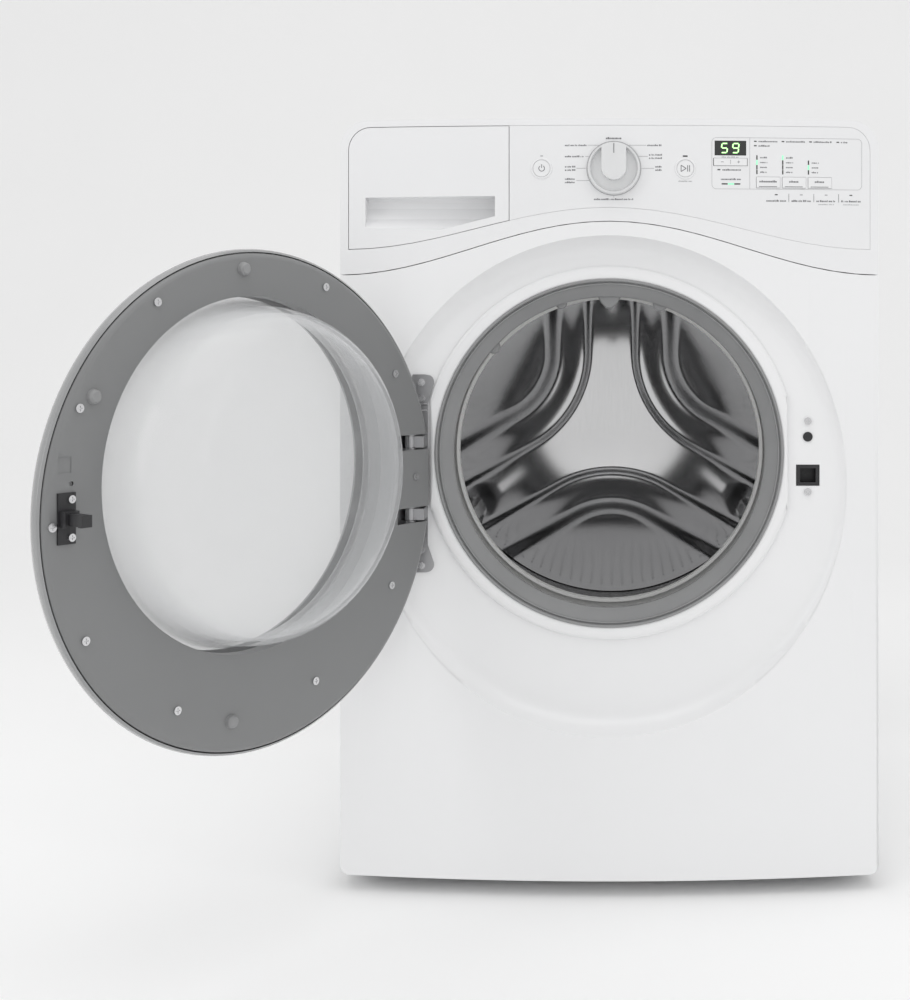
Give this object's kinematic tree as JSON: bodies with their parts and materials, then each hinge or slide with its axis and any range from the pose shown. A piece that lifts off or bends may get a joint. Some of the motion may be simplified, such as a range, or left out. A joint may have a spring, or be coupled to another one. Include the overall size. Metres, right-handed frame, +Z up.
{
  "type": "front load washing machine",
  "caption": "Front load washing machine with its round door open, bowed front, waved console, detergent drawer, knob and keys, and a full drive and suspension inside.",
  "frame": {"origin": "on the floor, at the centre of the rectangle of the four levelling feet", "axes": "+X to the right seen from the front, +Y to the rear, +Z up; the door mouth faces -Y"},
  "size_m": [0.9103, 1.1892, 0.981],
  "materials": {
    "white_enamel": "gloss white baked enamel",
    "galvanised_steel": "galvanised sheet",
    "white_plastic": "gloss white plastic",
    "fascia_plastic": "printed white fascia",
    "display_glass": "black display window",
    "circuit_board": "green laminate",
    "inner_plastic": "satin white plastic",
    "hinge_steel": "plated steel",
    "screw_steel": "plated steel",
    "black_plastic": "black plastic",
    "grey_rubber": "moulded grey rubber",
    "valve_plastic": "blue plastic valve bodies",
    "black_rubber": "black rubber",
    "pump_plastic": "dark grey plastic",
    "spring_steel": "oiled spring steel",
    "concrete": "cast concrete",
    "motor_aluminium": "cast aluminium",
    "heater_steel": "sheathed element",
    "bearing_steel": "ground steel",
    "drum_steel": "polished stainless steel",
    "knob_plastic": "silver grey plastic",
    "door_rim": "white gloss rim",
    "window_plastic": "clear moulded cover",
    "liner_plastic": "mid grey moulded plastic",
    "bowl_glass": "clear pressed glass"
  },
  "bodies": {
    "cabinet": {"worktop": "white_enamel", "side_panel_left": "white_enamel", "side_panel_right": "white_enamel", "rear_panel": "galvanised_steel", "base_pan": "galvanised_steel", "front_panel": "white_enamel", "console_frame": "white_plastic", "control_fascia": "fascia_plastic", "display_window": "display_glass", "control_board": "circuit_board", "dispenser_housing": "inner_plastic", "hinge_bracket": "hinge_steel", "hinge_pins": "hinge_steel", "panel_screws": "screw_steel", "door_lock": "black_plastic", "gasket": "grey_rubber", "inlet_valves": "valve_plastic", "fill_hose": "black_rubber", "drain_pump": "pump_plastic", "drain_outlet": "black_rubber", "damper_cylinders": "black_plastic", "suspension_springs": "spring_steel", "cord_gland": "black_plastic", "foot_locknuts": "screw_steel"},
    "foot_front_left": {"foot_front_left": "black_rubber"},
    "foot_front_right": {"foot_front_right": "black_rubber"},
    "foot_rear_left": {"foot_rear_left": "black_rubber"},
    "foot_rear_right": {"foot_rear_right": "black_rubber"},
    "tub": {"tub_front": "inner_plastic", "tub_rear": "inner_plastic", "counterweight_front": "concrete", "counterweight_top": "concrete", "motor": "motor_aluminium", "heater": "heater_steel", "bearings": "bearing_steel", "damper_rods": "spring_steel", "drive_belt": "black_rubber"},
    "drum": {"drum": "drum_steel", "baffles": "drum_steel", "spider": "motor_aluminium", "drum_shaft": "bearing_steel", "drum_pulley": "motor_aluminium"},
    "rotor": {"motor_rotor": "spring_steel"},
    "drawer": {"drawer_front": "white_plastic", "drawer_tray": "inner_plastic"},
    "knob": {"knob": "knob_plastic"},
    "power_button": {"power_button": "white_plastic"},
    "start_button": {"start_button": "white_plastic"},
    "temp_button": {"temp_button": "white_plastic"},
    "spin_button": {"spin_button": "white_plastic"},
    "soil_button": {"soil_button": "white_plastic"},
    "time_rocker": {"time_rocker": "white_plastic"},
    "door": {"door_frame": "door_rim", "door_window": "window_plastic", "door_liner": "liner_plastic", "door_glass": "bowl_glass", "door_screws": "screw_steel", "door_bumpers": "grey_rubber", "strike_hook": "black_plastic", "hinge_leaf": "hinge_steel"}
  },
  "joints": [
    {"name": "foot_front_left_screw", "type": "slide", "parent": "cabinet", "child": "foot_front_left", "axis": [0, 0, -1], "range_m": [0, 0.012]},
    {"name": "foot_front_right_screw", "type": "slide", "parent": "cabinet", "child": "foot_front_right", "axis": [0, 0, -1], "range_m": [0, 0.012]},
    {"name": "foot_rear_left_screw", "type": "slide", "parent": "cabinet", "child": "foot_rear_left", "axis": [0, 0, -1], "range_m": [0, 0.012]},
    {"name": "foot_rear_right_screw", "type": "slide", "parent": "cabinet", "child": "foot_rear_right", "axis": [0, 0, -1], "range_m": [0, 0.012]},
    {"name": "tub_bounce", "type": "slide", "parent": "cabinet", "child": "tub", "axis": [0, 0, 1], "range_m": [-0.008, 0.008], "stiffness_N_per_m": 15000, "springref_m": 0.03021},
    {"name": "drum_spin", "type": "hinge", "parent": "tub", "child": "drum", "pos_m": [0, 0, 0.558], "axis": [0, 1, 0], "continuous": true},
    {"name": "motor_spin", "type": "hinge", "parent": "tub", "child": "rotor", "pos_m": [0, 0, 0.165], "axis": [0, 1, 0], "continuous": true},
    {"name": "drawer_slide", "type": "slide", "parent": "cabinet", "child": "drawer", "axis": [0, -1, 0], "range_m": [0, 0.19]},
    {"name": "knob_turn", "type": "hinge", "parent": "cabinet", "child": "knob", "pos_m": [0.006, -0.37599, 0.918], "axis": [-0.0026, 1, 0], "continuous": true},
    {"name": "power_button_press", "type": "slide", "parent": "cabinet", "child": "power_button", "axis": [0.0374, 0.9993, 0], "range_m": [0, 0.0015], "stiffness_N_per_m": 600, "springref_m": -0.001},
    {"name": "start_button_press", "type": "slide", "parent": "cabinet", "child": "start_button", "axis": [-0.0422, 0.9991, 0], "range_m": [0, 0.0015], "stiffness_N_per_m": 600, "springref_m": -0.001},
    {"name": "temp_button_press", "type": "slide", "parent": "cabinet", "child": "temp_button", "axis": [-0.0883, 0.9961, 0], "range_m": [0, 0.0015], "stiffness_N_per_m": 600, "springref_m": -0.001},
    {"name": "spin_button_press", "type": "slide", "parent": "cabinet", "child": "spin_button", "axis": [-0.1028, 0.9947, 0], "range_m": [0, 0.0015], "stiffness_N_per_m": 600, "springref_m": -0.001},
    {"name": "soil_button_press", "type": "slide", "parent": "cabinet", "child": "soil_button", "axis": [-0.1173, 0.9931, 0], "range_m": [0, 0.0015], "stiffness_N_per_m": 600, "springref_m": -0.001},
    {"name": "time_rocker_tilt", "type": "hinge", "parent": "cabinet", "child": "time_rocker", "pos_m": [0.15272, -0.36666, 0.9265], "axis": [0, 0, 1], "range_deg": [-3, 3], "stiffness_Nm_per_rad": 0.3},
    {"name": "door_hinge", "type": "hinge", "parent": "cabinet", "child": "door", "pos_m": [-0.249, -0.388, 0.525], "axis": [0, 0, 1], "range_deg": [0, 126]}
  ],
  "couplings": [
    {"joint": "motor_spin", "follows": "drum_spin", "ratio": 12.5}
  ]
}
